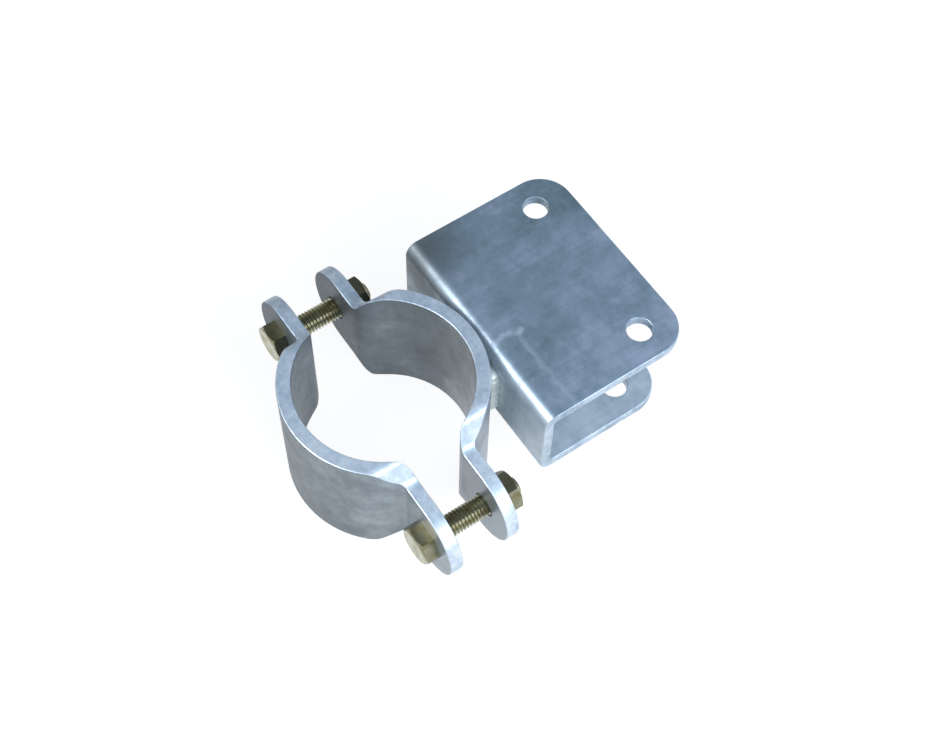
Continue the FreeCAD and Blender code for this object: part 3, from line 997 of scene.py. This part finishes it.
@dataclass
class Studio:
    """White paper floor and background, a graded blue-grey ceiling card, soft lamps and the camera."""

    floor_size: float = 8.0
    floor_glow: float = 0.87
    floor_paper: str = "#e6e6e6"
    floor_shade: str = "#8c8c8c"  # paper under the glow, which keeps the shadow
    ceiling_height: float = 0.75
    ceiling_size: float = 1.5
    ceiling_glow: float = 1.0
    ceiling_near: str = "#c3d5e8"
    ceiling_far: str = "#4c5d70"
    ceiling_grade: tuple[float, float] = (0.1, 0.5)  # from the near to the far colour, along Y
    ambient: float = 0.32
    lamps: tuple[Lamp, ...] = (
        Lamp("back_lamp", (-0.37, 0.11, 0.48), size=0.3, power=6.5, mirrored_only=True),
        Lamp("left_lamp", (-0.5, -0.2, 0.45), size=0.35, power=0.5),
        Lamp("front_lamp", (0.0, -0.52, 0.34), size=0.36, power=1.7),
        Lamp("right_lamp", (0.3, -0.5, 0.38), size=0.35, power=2.2, colour="#c6deff"),
    )
    lens_pixels: float = 1612.24
    sensor_mm: float = 36.0
    clip_start: float = 0.01
    azimuth: float = -35.86
    elevation: float = 60.14
    roll: float = 1.75
    target: Vector = Vector((31.13 * MM, -4.31 * MM, 28.37 * MM))
    distance: float = 550.48 * MM

    def background(self) -> None:
        """White where it is seen or mirrored, and a plain soft light elsewhere."""
        world = bpy.data.worlds.new("white_studio")
        bpy.context.scene.world = world
        world.use_nodes = True
        tree = world.node_tree
        tree.nodes.clear()
        strength = add_node(
            tree, "ShaderNodeMapRange", {"Value": shown_rays(tree), "To Min": self.ambient, "To Max": 1.0}
        ).outputs["Result"]
        light = add_node(
            tree, "ShaderNodeBackground", {"Color": linear(WHITE), "Strength": strength}
        ).outputs["Background"]
        add_node(tree, "ShaderNodeOutputWorld", {"Surface": light})

    def sheet(self, name: str, size: float, height: float, material: bpy.types.Material) -> bpy.types.Object:
        """Add a flat square of the studio.

        Args:
            name: Name of the sheet.
            size: Length of its side.
            height: Its height.
            material: Its material.

        Returns:
            The sheet's object.
        """
        mesh = bmesh.new()
        bmesh.ops.create_grid(mesh, x_segments=1, y_segments=1, size=size / 2)
        bmesh.ops.translate(mesh, verts=mesh.verts[:], vec=(self.target.x, self.target.y, height))
        data = bpy.data.meshes.new(name)
        mesh.to_mesh(data)
        mesh.free()
        data.materials.append(material)
        sheet = bpy.data.objects.new(name, data)
        bpy.context.scene.collection.objects.link(sheet)
        return sheet

    def floor(self) -> None:
        """Pale paper that shows white and keeps a soft shadow."""
        material, tree = blank_material("white_paper")
        plain = add_node(tree, "ShaderNodeBsdfDiffuse", {"Color": linear(self.floor_paper)}).outputs["BSDF"]
        shade = add_node(tree, "ShaderNodeBsdfDiffuse", {"Color": linear(self.floor_shade)}).outputs["BSDF"]
        glow = add_node(
            tree, "ShaderNodeEmission", {"Color": linear(WHITE), "Strength": self.floor_glow}
        ).outputs["Emission"]
        bright = add_node(tree, "ShaderNodeAddShader", {0: shade, 1: glow}).outputs["Shader"]
        paper = add_node(
            tree, "ShaderNodeMixShader", {"Fac": shown_rays(tree), 1: plain, 2: bright}
        ).outputs["Shader"]
        add_node(tree, "ShaderNodeOutputMaterial", {"Surface": paper})
        self.sheet("paper_floor", self.floor_size, 0.0, material)

    def ceiling(self) -> None:
        """Blue-grey card overhead, darker at the far end, which lights the metal but isn't seen itself."""
        material, tree = blank_material("blue_grey_card")
        place = add_node(tree, "ShaderNodeTexCoord").outputs["Object"]
        along = add_node(tree, "ShaderNodeSeparateXYZ", {"Vector": place}).outputs["Y"]
        grade = add_node(
            tree,
            "ShaderNodeMapRange",
            {"Value": along, "From Min": self.ceiling_grade[0], "From Max": self.ceiling_grade[1]},
        ).outputs["Result"]
        stops = ((0.0, self.ceiling_near), (1.0, self.ceiling_far))
        colour = add_node(tree, "ShaderNodeValToRGB", {"Fac": grade}, stops).outputs["Color"]
        glow = add_node(
            tree, "ShaderNodeEmission", {"Color": colour, "Strength": self.ceiling_glow}
        ).outputs["Emission"]
        add_node(tree, "ShaderNodeOutputMaterial", {"Surface": glow})
        card = self.sheet("ceiling_card", self.ceiling_size, self.ceiling_height, material)
        card.visible_camera = False
        card.visible_shadow = False

    def camera(self) -> None:
        """Camera at the photograph's viewing angle."""
        turn, lift, roll = (math.radians(angle) for angle in (self.azimuth, self.elevation, self.roll))
        back = Vector((math.sin(turn) * math.cos(lift), -math.cos(turn) * math.cos(lift), math.sin(lift)))
        level = Vector((math.cos(turn), math.sin(turn), 0.0))
        upright = back.cross(level)
        right = level * math.cos(roll) + upright * math.sin(roll)
        up = upright * math.cos(roll) - level * math.sin(roll)
        data = bpy.data.cameras.new("camera")
        data.sensor_width = self.sensor_mm
        data.lens = self.sensor_mm * self.lens_pixels / PHOTO_WIDTH
        data.clip_start = self.clip_start
        camera = bpy.data.objects.new("camera", data)
        pose = Matrix((right, up, back)).transposed().to_4x4()
        pose.translation = self.target + back * self.distance
        camera.matrix_world = pose
        bpy.context.scene.collection.objects.link(camera)
        bpy.context.scene.camera = camera

    def build(self) -> None:
        """Set up the whole studio."""
        bpy.context.scene.view_settings.view_transform = "Standard"
        self.background()
        self.floor()
        self.ceiling()
        for lamp in self.lamps:
            lamp.build(self.target)
        self.camera()


def main() -> None:
    """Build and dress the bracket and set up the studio."""
    logging.basicConfig(level=logging.INFO, format="%(name)s: %(message)s")
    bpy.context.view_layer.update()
    bar = HotDipZinc(
        "hot_dip_galvanised_bar",
        ZincTones("#59636a", "#737d84", "#9aa4ab"),
        UPRIGHT_LINES,
        line_share=0.08,
        contrast=0.6,
        # painted shade: darker toward minus X and toward the far end
        painted_light_slope=(1.2, -2.8, 0.0),
    ).material()
    # Lighter cut-edge zinc, made lighter still and finely speckled as painted highlight along the bar's
    # edges.
    bar_edge_and_highlight = HotDipZinc(
        "hot_dip_galvanised_bar_edge",
        ZincTones("#8fa0b0", "#b2c0cc", "#d3dde5"),
        UPRIGHT_LINES,
        # painted light: lighter toward the near end
        painted_light_slope=(0.0, -1.6, 0.0),
        patch_mm=EDGE_PATCH_MM,
        mottle_mm=EDGE_MOTTLE_MM,
    ).material()
    plate = HotDipZinc(
        "hot_dip_galvanised_plate",
        ZincTones("#95a4b0", "#b4c2cc", "#d2dce3"),
        SLANTED_LINES,
        line_turn=24.0,
        flange_shade=PaintedFlangeShade(),
    ).material()
    plate_edge = HotDipZinc(
        "hot_dip_galvanised_plate_edge",
        ZincTones("#8292a2", "#9dadb9", "#bac8d3"),
        SLANTED_LINES,
        patch_mm=EDGE_PATCH_MM,
        mottle_mm=EDGE_MOTTLE_MM,
    ).material()
    weld = HotDipZinc(
        "hot_dip_galvanised_weld", ZincTones("#98a5a9", "#b5c1c3", "#d4dddd"), UPRIGHT_LINES
    ).material()
    bolt_zinc = YellowZinc("yellow_passivated_zinc").material()

    parts: list[ClampHalf | ChannelBracket | WeldBead | HexBolt | HexNut] = [
        ClampHalf("rear_clamp_half", bar, bar_edge_and_highlight),
        ClampHalf("front_clamp_half", bar, bar_edge_and_highlight),
        ChannelBracket("channel_bracket", plate, plate_edge),
    ]
    for side in Side:
        parts += [WeldBead(side, weld), HexBolt(side, bolt_zinc), HexNut(side, bolt_zinc)]
    for part in parts:
        piece = part.build()
        log.info("%s: %d faces", piece.name, len(piece.data.polygons))
    Studio().build()


if __name__ == "__main__":
    main()
